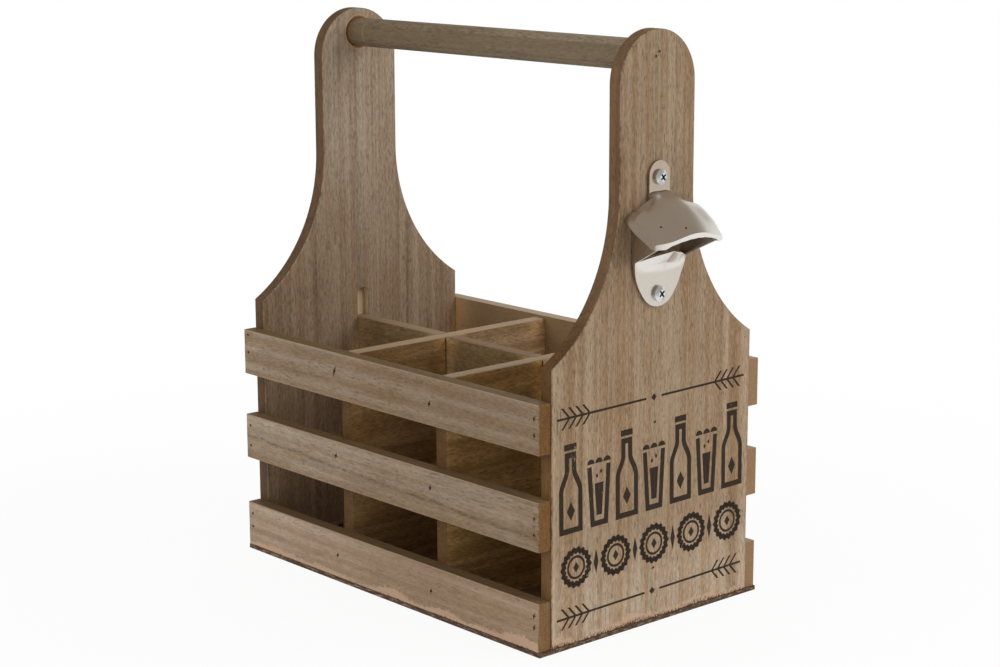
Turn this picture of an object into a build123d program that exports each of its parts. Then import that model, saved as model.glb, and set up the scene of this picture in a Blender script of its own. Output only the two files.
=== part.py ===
from build123d import *
import os

# A wooden carrier for six bottles: two shaped end boards, six slats, a thin base,
# lapped dividers, a dowel handle, and a cast bottle opener screwed to one end.
# X runs along the handle, Y across it, Z up. The origin is under the middle of the base.

# Driving sizes of the carrier, in millimetres
case_length = 276.0
case_width = 160.0
carrier_height = 342.5
board = 9.0
base_thickness = 2.5
arris = 0.5

# End boards
shoulder_height = 162.5
neck_length = 90.5
neck_width = 59.0

# Slats, from the lowest up
slat_height = 28.5
slat_setback = 1.0
lower_gap = 29.5
upper_gap = 26.6

# Dividers and the grooves that hold the long one
divider_top = 142.5
cross_divider_pitch = 89.0
lap_clearance = 0.15
groove_depth = 4.2
groove_clearance = 0.1
groove_rise = 18.6
groove_end_clearance = 0.2

# Handle
dowel_diameter = 18.0
dowel_drop = 15.2
socket_depth = 5.0
socket_clearance = 0.1
socket_end_clearance = 0.2
socket_rim = 1.2

# Brads: flat wire nails with a small head, sunk below the surface
brad_width = 1.25
brad_thickness = 1.0
brad_head_width = 2.0
brad_head_thickness = 1.25
brad_head_height = 0.8
brad_length = 20.0
brad_sink = 0.7
brad_clearance = 0.05

# Bottle opener: its upper screw's place between the shoulders and the top. Other heights are
# falls below that screw, and reaches are from the board's face
upper_screw_share = 0.5461
screw_pitch = 65.9
opener_wall = 1.8
hood_wall = 2.6
tab_width = 16.2
tab_rise = 9.3
hood_width = 56.4
hood_reach = 31.8
hood_side_reach = 24.1
hood_start_fall = 7.5
lip_fall = 27.8
lip_corner_radius = 3.0
cheek_front_fall = 35.6
tongue_width = 40.6
tongue_corner_fall = 47.1
tongue_end_drop = 7.4
tongue_end_radius = 14.5
tongue_end_turn = 50.0
tooth_start_fall = 57.8
tooth_reach = 13.4
tooth_rise = 6.6
tooth_edge = 1.0
neck_gap = 5.3
neck_gap_fall = 24.8

# Opener screws
screw_hole_diameter = 5.0
screw_shank_diameter = 4.0
screw_shank_length = 9.5
screw_head_diameter = 8.8
screw_head_height = 2.9
screw_clearance = 0.05
recess_length = 4.6
recess_width = 1.2
recess_depth = 1.8
recess_angle = 38.0
head_edge_share = 0.55
head_top_share = 0.55

# A cut runs past the faces that it opens by this much
overrun = 5.0

# Worked out from the sizes above
half_length = case_length / 2
inner_half_length = half_length - board
half_width = case_width / 2
outer_half_width = half_width + board
flare_height = carrier_height - neck_length
dowel_height = carrier_height - dowel_drop
upper_screw_height = shoulder_height + upper_screw_share * (carrier_height - shoulder_height)
slat_length = case_length - slat_setback
slat_shift = slat_setback / 2
divider_height = divider_top - base_thickness
divider_middle = base_thickness + divider_height / 2
cross_divider_places = (-cross_divider_pitch / 2, cross_divider_pitch / 2)
end_board_middle = half_length - board / 2
slat_levels = {
    "lower": base_thickness + slat_height / 2,
    "middle": base_thickness + lower_gap + 3 * slat_height / 2,
    "upper": base_thickness + lower_gap + upper_gap + 5 * slat_height / 2,
}

# The planes of the outer faces, each with its normal pointing out and its second axis up
front = Plane.XZ.offset(outer_half_width)
back = Plane(origin=(0, outer_half_width, 0), x_dir=(-1, 0, 0), z_dir=(0, 1, 0))
right_end = Plane.YZ.offset(half_length)
left_end = Plane(origin=(-half_length, 0, 0), x_dir=(0, -1, 0), z_dir=(-1, 0, 0))
underside = Plane(origin=(0, 0, 0), x_dir=(1, 0, 0), z_dir=(0, 0, -1))

os.makedirs("parts", exist_ok=True)


# Brads

# Where the nailer struck, as shares of a slat's height: left end, two cross dividers, right end
slat_brad_shares = {
    "lower": ((0.45, 0.75), (0.50,), (0.47,), (0.50, 0.74)),
    "middle": ((0.30, 0.76), (0.68,), (0.63,), (0.34, 0.67)),
    "upper": ((0.50, 0.90), (0.60,), (0.45,), (0.39, 0.72)),
}
slat_brad_columns = (-end_board_middle, *cross_divider_places, end_board_middle)
# Shares of the dowel's radius across and up, and of the divider's height
handle_brad_shares = ((0.02, 0.31), (-0.28, 0.02))
divider_brad_shares = (0.22, 0.84)
# Shares of the inner half length and of the half width
base_brad_far_share = 0.62
base_brad_near_share = 0.5


def slat_brad_places(level):
    """The brads of one slat, on the plane of its outer face."""
    bottom = slat_levels[level] - slat_height / 2
    places = []
    for column, shares in zip(slat_brad_columns, slat_brad_shares[level]):
        places += [(column, bottom + share * slat_height) for share in shares]
    return places


def handle_brad_places():
    radius = dowel_diameter / 2
    return [(across * radius, dowel_height + up * radius) for across, up in handle_brad_shares]


def divider_brad_places():
    return [(0, base_thickness + share * divider_height) for share in divider_brad_shares]


def base_brad_places():
    """Up into the end boards, the lowest slats, the cross dividers and the long divider."""
    far = base_brad_far_share * inner_half_length
    near = base_brad_near_share * half_width
    places = [(x, y) for x in (-end_board_middle, end_board_middle) for y in (-near, near)]
    places += [(x, y) for x in cross_divider_places for y in (-near, near)]
    slat_middle = half_width + board / 2
    places += [(x, y) for x in (-far, 0, far) for y in (-slat_middle, slat_middle)]
    places += [(x, 0) for x in (-far, far)]
    return places


def drive_brads(face, places):
    """Brads driven in through a face."""
    with BuildSketch(face.offset(-brad_sink)) as heads:
        with Locations(*places):
            Rectangle(brad_head_width, brad_head_thickness)
    extrude(heads.sketch, amount=-brad_head_height)
    with BuildSketch(face.offset(-brad_sink - brad_head_height)) as shanks:
        with Locations(*places):
            Rectangle(brad_width, brad_thickness)
    extrude(shanks.sketch, amount=brad_head_height - brad_length)


def cut_brad_pockets(face, places):
    """The pockets that those brads leave, open at the face."""
    head_depth = brad_sink + brad_head_height + brad_clearance
    shank_depth = brad_sink + brad_length + brad_clearance
    with BuildSketch(face) as heads:
        with Locations(*places):
            Rectangle(brad_head_width + 2 * brad_clearance, brad_head_thickness + 2 * brad_clearance)
    extrude(heads.sketch, amount=-head_depth, mode=Mode.SUBTRACT)
    with BuildSketch(face) as shanks:
        with Locations(*places):
            Rectangle(brad_width + 2 * brad_clearance, brad_thickness + 2 * brad_clearance)
    extrude(shanks.sketch, amount=-shank_depth, mode=Mode.SUBTRACT)


# End boards: a straight foot, concave shoulders, a narrow neck and a round crown
neck_half = neck_width / 2
crown_centre_height = carrier_height - neck_half
groove_radius = board / 2 + groove_clearance
groove_top = divider_top + groove_rise
opener_screw_places = ((0, upper_screw_height), (0, upper_screw_height - screw_pitch))
pilot_depth = screw_shank_length - opener_wall + screw_clearance

for side, end_name, end_face in ((-1, "left", left_end), (1, "right", right_end)):
    with BuildPart() as end_board:
        with BuildSketch(end_face):
            with BuildLine():
                Polyline(
                    (0, base_thickness),
                    (half_width, base_thickness),
                    (half_width, shoulder_height),
                )
                TangentArc(
                    (neck_half, flare_height),
                    (half_width, shoulder_height),
                    tangent=(0, -1),
                )
                Line((neck_half, flare_height), (neck_half, crown_centre_height))
                TangentArc(
                    (neck_half, crown_centre_height),
                    (0, carrier_height),
                    tangent=(0, 1),
                )
                mirror(about=Plane.YZ)
            make_face()
        extrude(amount=-board)
        chamfer(end_board.faces().filter_by(Axis.X).edges(), length=arris)

        # The groove for the long divider, with the round end that a router leaves
        with BuildSketch(end_face.offset(-board)):
            with Locations((0, base_thickness)):
                Rectangle(
                    2 * groove_radius,
                    groove_top - groove_radius - base_thickness,
                    align=(Align.CENTER, Align.MIN),
                )
            with Locations((0, groove_top - groove_radius)):
                Circle(groove_radius)
        extrude(amount=groove_depth, mode=Mode.SUBTRACT)

        # The blind socket for the handle
        with BuildSketch(end_face.offset(-board)):
            with Locations((0, dowel_height)):
                Circle(dowel_diameter / 2 + socket_clearance)
        extrude(amount=socket_depth, mode=Mode.SUBTRACT)
        socket_edges = end_board.edges().filter_by(lambda edge: edge.is_closed)
        chamfer(socket_edges.sort_by(Axis.X)[0 if side > 0 else -1], length=socket_rim)

        for level in slat_levels:
            cut_brad_pockets(front, slat_brad_places(level))
            cut_brad_pockets(back, slat_brad_places(level))
        cut_brad_pockets(end_face, handle_brad_places() + divider_brad_places())
        cut_brad_pockets(underside, base_brad_places())
        if side > 0:
            with BuildSketch(end_face):
                with Locations(*opener_screw_places):
                    Circle(screw_shank_diameter / 2 + screw_clearance)
            extrude(amount=-pilot_depth, mode=Mode.SUBTRACT)
    end_board.part.label = f"end_board_{end_name}"
    export_step(end_board.part, f"parts/end_board_{end_name}.step")


# Slats
for face_name, slat_face, along in (("front", front, 1), ("back", back, -1)):
    for level, middle in slat_levels.items():
        with BuildPart() as slat:
            with BuildSketch(slat_face):
                with Locations((-along * slat_shift, middle)):
                    Rectangle(slat_length, slat_height)
            extrude(amount=-board)
            chamfer(slat.edges().group_by(Axis.Y)[0 if along > 0 else -1], length=arris)
            cut_brad_pockets(slat_face, slat_brad_places(level))
            if level == "lower":
                cut_brad_pockets(underside, base_brad_places())
        slat.part.label = f"slat_{face_name}_{level}"
        export_step(slat.part, f"parts/slat_{face_name}_{level}.step")


# Base board
with BuildPart() as base_board:
    with BuildSketch():
        Rectangle(case_length, 2 * outer_half_width)
    extrude(amount=base_thickness)
    cut_brad_pockets(underside, base_brad_places())
base_board.part.label = "base_board"
export_step(base_board.part, "parts/base_board.step")


# Long divider: its ends stand in the grooves, its slots open upwards
long_divider_length = 2 * (inner_half_length + groove_depth - groove_end_clearance)
slot_width = board + 2 * lap_clearance

with BuildPart() as long_divider:
    with BuildSketch(Plane.XY.offset(base_thickness)):
        Rectangle(long_divider_length, board)
    extrude(amount=divider_height)
    chamfer(long_divider.edges().group_by(Axis.Z)[-1].filter_by(Axis.X), length=arris)
    with BuildSketch(Plane.XY.offset(divider_top)):
        with Locations(*[(place, 0) for place in cross_divider_places]):
            Rectangle(slot_width, board)
    extrude(amount=divider_middle - lap_clearance / 2 - divider_top, mode=Mode.SUBTRACT)
    for end_face in (left_end, right_end):
        cut_brad_pockets(end_face, divider_brad_places())
    cut_brad_pockets(underside, base_brad_places())
long_divider.part.label = "long_divider"
export_step(long_divider.part, "parts/long_divider.step")


# Cross dividers: they reach the slats, and their slots open downwards
for side_name, place in zip(("left", "right"), cross_divider_places):
    with BuildPart() as cross_divider:
        with BuildSketch(Plane.XY.offset(base_thickness)):
            with Locations((place, 0)):
                Rectangle(board, case_width)
        extrude(amount=divider_height)
        chamfer(cross_divider.edges().group_by(Axis.Z)[-1].filter_by(Axis.Y), length=arris)
        with BuildSketch(Plane.XY.offset(base_thickness)):
            with Locations((place, 0)):
                Rectangle(board, slot_width)
        extrude(amount=divider_height / 2 + lap_clearance / 2, mode=Mode.SUBTRACT)
        for level in slat_levels:
            cut_brad_pockets(front, slat_brad_places(level))
            cut_brad_pockets(back, slat_brad_places(level))
        cut_brad_pockets(underside, base_brad_places())
    cross_divider.part.label = f"cross_divider_{side_name}"
    export_step(cross_divider.part, f"parts/cross_divider_{side_name}.step")


# Handle dowel
dowel_length = 2 * (inner_half_length + socket_depth - socket_end_clearance)

with BuildPart() as handle_dowel:
    with BuildSketch(Plane.YZ.offset(-dowel_length / 2)):
        with Locations((0, dowel_height)):
            Circle(dowel_diameter / 2)
    extrude(amount=dowel_length)
    for end_face in (left_end, right_end):
        cut_brad_pockets(end_face, handle_brad_places())
handle_dowel.part.label = "handle_dowel"
export_step(handle_dowel.part, "parts/handle_dowel.step")


# The opener's hood: an arched visor, hollow below, whose cheeks run down to the tongue
half_hood = hood_width / 2
hood_fall = lip_fall - hood_start_fall
arch_fall = half_hood / 2

# From the board out: shares of the reach and of the fall. Then the arch: falls of the crown's
# edge, hip, shoulder, side and brim, as shares of the arch's fall. Then the widths of the
# shoulder, the side and the cheek, as shares of the half width
crown_share = tab_width / hood_width
hip_share = 0.5
hood_station_shares = (
    (0.00, -0.02, (0.03, 0.45, 0.92, 1.04, 1.12), (0.86, 0.93, 0.72)),
    (0.155, 0.078, (0.08, 0.34, 0.74, 0.99, 1.10), (0.885, 0.97, 0.74)),
    (0.31, 0.20, (0.05, 0.19, 0.50, 1.02, 1.15), (0.90, 0.99, 0.76)),
    (0.47, 0.353, (0.04, 0.16, 0.49, 0.99, 1.12), (0.90, 1.00, 0.79)),
    (0.63, 0.53, (0.04, 0.18, 0.52, 0.93, 1.05), (0.90, 1.00, 0.82)),
    (0.82, 0.775, (0.07, 0.23, 0.70, 0.86, 0.98), (0.90, 1.00, 0.86)),
    (1.04, 1.06, (0.11, 0.33, 1.00, 1.22, 1.34), (0.90, 1.00, 0.90)),
)
# The hollow: shares of the reach, of the fall and of the half width out to the cheek. Its own
# arch keeps its size all the way, and is cored in a few flats
hollow_station_shares = ((0.00, 0.128, 0.72), (0.47, 0.384, 0.79), (1.04, 1.06, 0.90))
hollow_arch_width_share = 0.62
hollow_arch_fall_share = 0.36
hollow_corner_fall_share = 0.30
half_arch_flats = 3
foot_height = upper_screw_height - tooth_start_fall


def hood_section(reach_share, fall_share, arch_fall_shares, width_shares):
    """The visor's outline at one distance from the board, with a cheek under each side."""
    crown = upper_screw_height - hood_start_fall - fall_share * hood_fall
    shoulder_share, side_share, cheek_share = width_shares
    across_shares = (crown_share, hip_share, shoulder_share, side_share, side_share)
    crown_edge, hip, shoulder, side, brim = [
        (across * half_hood, crown - fall * arch_fall)
        for across, fall in zip(across_shares, arch_fall_shares)
    ]
    cheek = cheek_share * half_hood
    with BuildSketch(Plane.YZ.offset(half_length + reach_share * hood_reach)) as section:
        with BuildLine():
            half_arch = (crown_edge, hip, shoulder, side)
            other_half = [(-across, up) for across, up in reversed(half_arch)]
            Spline(*other_half, (0, crown), *half_arch)
            underside = Polyline(
                side, brim, (cheek, brim[1]), (cheek, foot_height), (0, foot_height)
            )
            mirror(underside, about=Plane.YZ)
        make_face()
    return section.sketch


def hollow_section(reach_share, fall_share, cheek_share):
    """The space below the visor and between its cheeks, at one distance from the board."""
    crown = upper_screw_height - hood_start_fall - fall_share * hood_fall - hood_wall
    half = cheek_share * half_hood - opener_wall
    arch = []
    for flat in range(-half_arch_flats, half_arch_flats + 1):
        across_share = flat / half_arch_flats
        arch_drop = hollow_arch_fall_share * arch_fall * across_share**2
        arch.append((across_share * hollow_arch_width_share * half_hood, crown - arch_drop))
    corner = arch[0][1] - hollow_corner_fall_share * arch_fall
    with BuildSketch(Plane.YZ.offset(half_length + reach_share * hood_reach)) as section:
        with BuildLine():
            Polyline(
                *arch,
                (half, corner),
                (half, foot_height - overrun),
                (-half, foot_height - overrun),
                (-half, corner),
                close=True,
            )
        make_face()
    return section.sketch


with BuildPart() as hood_hollow:
    loft([hollow_section(*station) for station in hollow_station_shares], ruled=True)

with BuildPart() as hood:
    loft([hood_section(*station) for station in hood_station_shares], ruled=True)
    add(hood_hollow.part, mode=Mode.SUBTRACT)

    # The lip is an arc in plan, with round corners
    with BuildSketch(Plane.XY.offset(upper_screw_height - screw_pitch)):
        with BuildLine():
            ThreePointArc(
                (half_length + hood_side_reach, -half_hood),
                (half_length + hood_reach, 0),
                (half_length + hood_side_reach, half_hood),
            )
            Polyline(
                (half_length + hood_side_reach, half_hood),
                (half_length, half_hood),
                (half_length, -half_hood),
                (half_length + hood_side_reach, -half_hood),
            )
        plan = make_face()
        fillet(plan.vertices().group_by(Axis.X)[-1], radius=lip_corner_radius)
    extrude(amount=screw_pitch, mode=Mode.INTERSECT)

    # Below, the cheeks end on a slope from the tongue's corners to the lip's corners
    corner_height = upper_screw_height - tongue_corner_fall
    cheek_front_height = upper_screw_height - cheek_front_fall
    with BuildSketch(Plane.XZ):
        with BuildLine():
            Polyline(
                (half_length, corner_height),
                (half_length + opener_wall, corner_height),
                (half_length + hood_side_reach, cheek_front_height),
                (half_length + hood_reach + overrun, cheek_front_height),
                (half_length + hood_reach + overrun, 0),
                (half_length, 0),
                close=True,
            )
        make_face()
    extrude(amount=hood_width, both=True, mode=Mode.SUBTRACT)

    # Beside the neck, the visor's back edge stands clear of the board
    with BuildSketch(Plane.XY.offset(upper_screw_height)):
        with BuildLine():
            Polyline(
                (half_length, tab_width / 2),
                (half_length + neck_gap, tab_width / 2),
                (half_length, half_hood),
                close=True,
            )
        make_face()
        mirror(about=Plane.XZ)
    extrude(amount=-neck_gap_fall, mode=Mode.SUBTRACT)

# The tongue, with the lifting tooth that its upper edge sweeps out into
tongue_half = tongue_width / 2
tongue_end_height = upper_screw_height - screw_pitch - tongue_end_drop
end_centre_height = tongue_end_height + tongue_end_radius
tooth_start_height = upper_screw_height - tooth_start_fall

# Across the tongue, as shares of its half width: how far out the tooth has grown
tooth_station_shares = ((-1.10, 0.02), (-0.55, 0.62), (0.0, 1.0), (0.55, 0.62), (1.10, 0.02))
# Up the tooth, as shares of its reach and of its rise: it leans out more and more
tooth_lean_shares = ((0.0, 0.0), (0.0, 0.10), (0.13, 0.30), (0.42, 0.58), (1.0, 1.0))


def tooth_section(width_share, growth_share):
    """The plate in section, straight below and leaning out above."""
    reach = growth_share * (tooth_reach - opener_wall)
    rise = corner_height + growth_share * tooth_rise - tooth_start_height
    outside, inside = [
        [(face + out * reach, tooth_start_height + up * rise) for out, up in tooth_lean_shares]
        for face in (half_length + opener_wall, half_length)
    ]
    tip = (inside[-1][0], inside[-1][1] + tooth_edge * growth_share)
    with BuildSketch(Plane.XZ.offset(-width_share * tongue_half)) as section:
        with BuildLine():
            Polyline(
                (half_length, tongue_end_height),
                (half_length + opener_wall, tongue_end_height),
                *outside,
                tip,
                *reversed(inside[:-1]),
                close=True,
            )
        make_face()
    return section.sketch


with BuildPart() as tongue:
    loft([tooth_section(*station) for station in tooth_station_shares], ruled=True)
    with BuildSketch(Plane.YZ.offset(half_length)):
        with BuildLine():
            end_arc = CenterArc((0, end_centre_height), tongue_end_radius, -90, tongue_end_turn)
            corner = (tongue_half, corner_height)
            TangentArc(end_arc @ 1, corner, tangent=end_arc % 1)
            Polyline(corner, (tongue_half, upper_screw_height), (0, upper_screw_height))
            mirror(about=Plane.YZ)
        make_face()
    extrude(amount=hood_reach, mode=Mode.INTERSECT)

with BuildPart() as bottle_opener:
    add(hood.part)
    add(tongue.part)
    with BuildSketch(Plane.YZ.offset(half_length)):
        with Locations((0, upper_screw_height + tab_rise - tab_width / 2)):
            Circle(tab_width / 2)
            Rectangle(
                tab_width,
                tab_rise - tab_width / 2 + hood_start_fall + hood_wall,
                align=(Align.CENTER, Align.MAX),
            )
    extrude(amount=opener_wall)
    with BuildSketch(Plane.YZ.offset(half_length)):
        with Locations(*opener_screw_places):
            Circle(screw_hole_diameter / 2)
    extrude(amount=opener_wall, mode=Mode.SUBTRACT)
bottle_opener.part.label = "bottle_opener"
export_step(bottle_opener.part, "parts/bottle_opener.step")


# Opener screws: pan heads with a cross recess, and plain shanks
opener_face = right_end.offset(opener_wall)
shank_radius = screw_shank_diameter / 2
head_radius = screw_head_diameter / 2

with BuildPart() as opener_screws:
    for across, up in opener_screw_places:
        # In this plane the first axis runs up the end board and the second into it
        screw_seat = (half_length + opener_wall, across, up)
        with BuildSketch(Plane(origin=screw_seat, x_dir=(0, 0, 1), z_dir=(0, 1, 0))):
            with BuildLine():
                Polyline(
                    (0, -screw_shank_length),
                    (shank_radius, -screw_shank_length),
                    (shank_radius, 0),
                    (head_radius, 0),
                    (head_radius, screw_head_height * head_edge_share),
                    (head_radius * head_top_share, screw_head_height),
                    (0, screw_head_height),
                    close=True,
                )
            make_face()
        revolve(axis=Axis((0, across, up), (1, 0, 0)))
    with BuildSketch(opener_face.offset(screw_head_height)):
        with Locations(*opener_screw_places):
            Rectangle(recess_length, recess_width, rotation=recess_angle)
            Rectangle(recess_width, recess_length, rotation=recess_angle)
    extrude(amount=-recess_depth, mode=Mode.SUBTRACT)
opener_screws.part.label = "opener_screws"
export_step(opener_screws.part, "parts/opener_screws.step")


# Brads
with BuildPart() as slat_brads:
    for level in slat_levels:
        drive_brads(front, slat_brad_places(level))
        drive_brads(back, slat_brad_places(level))
slat_brads.part.label = "slat_brads"
export_step(slat_brads.part, "parts/slat_brads.step")

with BuildPart() as handle_brads:
    for end_face in (left_end, right_end):
        drive_brads(end_face, handle_brad_places())
handle_brads.part.label = "handle_brads"
export_step(handle_brads.part, "parts/handle_brads.step")

with BuildPart() as divider_brads:
    for end_face in (left_end, right_end):
        drive_brads(end_face, divider_brad_places())
divider_brads.part.label = "divider_brads"
export_step(divider_brads.part, "parts/divider_brads.step")

with BuildPart() as base_brads:
    drive_brads(underside, base_brad_places())
base_brads.part.label = "base_brads"
export_step(base_brads.part, "parts/base_brads.step")
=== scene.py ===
# %% [markdown]
# # A wooden bottle carrier with a cast opener
#
# The carrier is a small piece of joinery: two shaped end boards, six slats, a thin base, lapped
# dividers and a dowel handle, all held by sunk wire brads, with a cast opener screwed to one end.
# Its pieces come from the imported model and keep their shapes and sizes. This lesson gives them
# what a maker would look at next: the grain and the grey wash of the wood, the stencilled
# ornament, the plated metal, and a plain studio to see it all in.

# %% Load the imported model
import math
from functools import partial

import bmesh
import bpy
from mathutils import Matrix, Vector


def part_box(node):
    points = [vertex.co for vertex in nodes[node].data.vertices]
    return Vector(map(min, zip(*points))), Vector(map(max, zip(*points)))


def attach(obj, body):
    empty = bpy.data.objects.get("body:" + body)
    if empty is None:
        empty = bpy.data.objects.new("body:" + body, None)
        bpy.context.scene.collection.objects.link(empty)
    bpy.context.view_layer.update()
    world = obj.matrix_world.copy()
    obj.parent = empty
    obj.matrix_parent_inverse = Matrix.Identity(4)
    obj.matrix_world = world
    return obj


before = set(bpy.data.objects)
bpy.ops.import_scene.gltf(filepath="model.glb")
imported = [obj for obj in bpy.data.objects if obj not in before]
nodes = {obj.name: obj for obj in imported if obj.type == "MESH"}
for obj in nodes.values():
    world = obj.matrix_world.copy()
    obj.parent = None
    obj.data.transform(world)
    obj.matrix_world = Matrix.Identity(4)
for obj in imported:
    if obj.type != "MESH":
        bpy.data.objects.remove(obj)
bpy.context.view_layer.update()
MM = 0.001

# %% [markdown]
# ## The camera
#
# A product photographer stands well back with a long lens, so that upright edges stay nearly
# parallel. Such a view could be found by eye, but here the place, the direction and the lens were
# worked out from the corners of the carrier, whose sizes are known, so that every edge of the
# model lies on its edge in the picture.

# %% Camera
CAMERA_PLACE = (0.9770, -0.8657, 0.4254)
CAMERA_AZIMUTH = 48.283
CAMERA_PITCH = 11.911
CAMERA_ROLL = -0.176
LENS = 78.34
SENSOR_WIDTH = 36.0

camera = bpy.data.objects.new("camera", bpy.data.cameras.new("camera"))
camera.data.sensor_width = SENSOR_WIDTH
camera.data.lens = LENS
camera.rotation_euler = (
    Matrix.Rotation(math.radians(CAMERA_AZIMUTH), 3, "Z")
    @ Matrix.Rotation(math.radians(90 - CAMERA_PITCH), 3, "X")
    @ Matrix.Rotation(math.radians(CAMERA_ROLL), 3, "Z")
).to_euler()
camera.location = CAMERA_PLACE
bpy.context.scene.collection.objects.link(camera)
bpy.context.scene.camera = camera
bpy.context.scene.view_settings.view_transform = "Standard"
print("camera", round(Vector(CAMERA_PLACE).length, 2), "m from the base")

# %% [markdown]
# ## Shader sums in plain Python
#
# A finish is a sum: so much wash, less where the arris is worn, more in the pores. Nodes could be
# dragged and wired by hand, but a sum is easier to read as a sum. One small class holds a socket
# and knows the operators, so that `1 - mask` adds the Math node that it needs. Colours go through
# a Mix node instead, because a Math node would turn them grey.

# %% A socket that can be reckoned with
NOISE_MIDDLE = 0.5


class Value:
    """A number that varies over a surface. Each operator adds one Math node."""

    def __init__(self, surface, socket):
        self.surface = surface
        self.socket = socket

    @property
    def swing(self):
        """How far a noise is above its middle, and negative where it is below."""
        return self - NOISE_MIDDLE

    def output(self, name):
        return Value(self.surface, self.socket.node.outputs[name])

    def math(self, operation, *values):
        return self.surface.add("Math", {"operation": operation}, dict(enumerate(values)))

    def __add__(self, other):
        return self.math("ADD", self, other)

    def __sub__(self, other):
        return self.math("SUBTRACT", self, other)

    def __rsub__(self, other):
        return self.math("SUBTRACT", other, self)

    def __mul__(self, other):
        return self.math("MULTIPLY", self, other)

    def __truediv__(self, other):
        return self.math("DIVIDE", self, other)

    def __pow__(self, other):
        return self.math("POWER", self, other)

    def __abs__(self):
        return self.math("ABSOLUTE", self)

    __radd__ = __add__
    __rmul__ = __mul__


# %% [markdown]
# ## One way to add any other node
#
# Every other node has a type, settings and sockets. One method takes all three in that order,
# because some settings, such as what kind of data a Mix node mixes, change which sockets count.

# %% A surface and its nodes
MIX_FACTOR, MIX_A, MIX_B, MIX_RESULT = 0, 6, 7, 2


class Surface:
    """The nodes of a material, or of the world, under construction."""

    def __init__(self, owner):
        self.owner = owner
        owner.use_nodes = True
        self.tree = owner.node_tree
        self.tree.nodes.clear()

    def add(self, kind, settings=None, sockets=None, output=0):
        node = self.tree.nodes.new("ShaderNode" + kind)
        for name, setting in (settings or {}).items():
            setattr(node, name, setting)
        for name, value in (sockets or {}).items():
            if isinstance(value, Value):
                self.tree.links.new(value.socket, node.inputs[name])
            else:
                node.inputs[name].default_value = value
        return Value(self, node.outputs[output]) if node.outputs else None

    def mix(self, mask, first, second):
        """The first colour where the mask is 0, the second where it is 1."""
        pair = [(*colour, 1.0) if isinstance(colour, tuple) else colour for colour in (first, second)]
        sockets = {MIX_FACTOR: mask, MIX_A: pair[0], MIX_B: pair[1]}
        return self.add("Mix", {"data_type": "RGBA"}, sockets, MIX_RESULT)

    def tint(self, colour, tint):
        """A colour times another."""
        return self.add("VectorMath", {"operation": "MULTIPLY"}, {0: colour, 1: tint})

    def shade(self, colour, amount):
        """A colour made lighter or darker by a number."""
        return self.tint(colour, self.add("CombineXYZ", None, dict.fromkeys("XYZ", amount)))

    def step(self, value, low, high, start=0.0):
        """0 below low, 1 above high, and smooth between them. Both are counted from the start."""
        sockets = {"Value": value, "From Min": start + low, "From Max": start + high}
        return self.add("MapRange", {"interpolation_type": "SMOOTHSTEP"}, sockets)

    def split(self, vector):
        """The three parts of a vector, by the names of their axes."""
        parts = self.add("SeparateXYZ", None, {0: vector})
        return {axis: parts.output(axis) for axis in "XYZ"}

    def noise(self, place, scale, detail, roughness):
        """Noise by its features per millimetre, as one number or one for each axis."""
        scales = scale if isinstance(scale, tuple) else (scale, scale, scale)
        stretched = self.add("VectorMath", {"operation": "MULTIPLY"}, {0: place, 1: scales})
        sockets = {"Vector": stretched, "Scale": 1.0, "Detail": detail, "Roughness": roughness}
        return self.add("TexNoise", None, sockets)

    def distance(self, place, spot):
        """How far a place is from a fixed spot."""
        return self.add("VectorMath", {"operation": "DISTANCE"}, {0: place, 1: spot}, "Value")

    def finish(self, bump=None, bump_height=0.0, **sockets):
        """Wires the surface up. Names are the shader's sockets, with _ for a space."""
        if bump is not None:
            raised = {"Height": bump, "Distance": bump_height, "Strength": 1.0}
            sockets["Normal"] = self.add("Bump", None, raised, "Normal")
        named = {name.replace("_", " "): value for name, value in sockets.items()}
        shader = self.add("BsdfPrincipled", None, named)
        self.add("OutputMaterial", None, {"Surface": shader})
        return self.owner


def new_material(name):
    return Surface(bpy.data.materials.new(name))


def from_axis(across, up):
    """How far a place is from an axis, by its two coordinates across that axis."""
    return (abs(across) ** 2 + abs(up) ** 2) ** 0.5


def dress(material, *names):
    """Gives the named pieces of the model one material."""
    for name in names:
        nodes[name].data.materials.clear()
        nodes[name].data.materials.append(material)
    print(material.name, "on", ", ".join(names))


# %% [markdown]
# ## The studio
#
# The carrier stands on a white sweep under soft light. The white comes from what the camera and
# the metal see, not from stronger lamps, so the wood keeps its own colour. Near the carrier the
# floor is partly a real surface, so it still holds a shadow, and further out it is all white.
# What the metal mirrors has a dim warm ceiling, which hangs lower on the side of the front slats,
# and a floor that is dim on that side too. That turns the crown of the opener's hood a brownish
# grey, while its lip and its plate stay bright.

# %% World
WHITE = (1.0, 1.0, 1.0)
SKY_LEVEL = 0.56
CEILING_COLOUR = (0.292, 0.243, 0.192)
CEILING_EDGE = (-0.03, 0.30)
LOWER_IN_FRONT, HIGHER_BEHIND = 0.35, 0.25
FRONT_TO_BACK = (-0.6, 0.1)


def seen_and_mirrored(surface):
    """1 for what the camera sees by itself, and 1 for what it sees in metal or through glass."""
    seen = surface.add("LightPath", None, None, "Is Camera Ray")
    return seen, seen.output("Is Glossy Ray") + seen.output("Is Transmission Ray")


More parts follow.
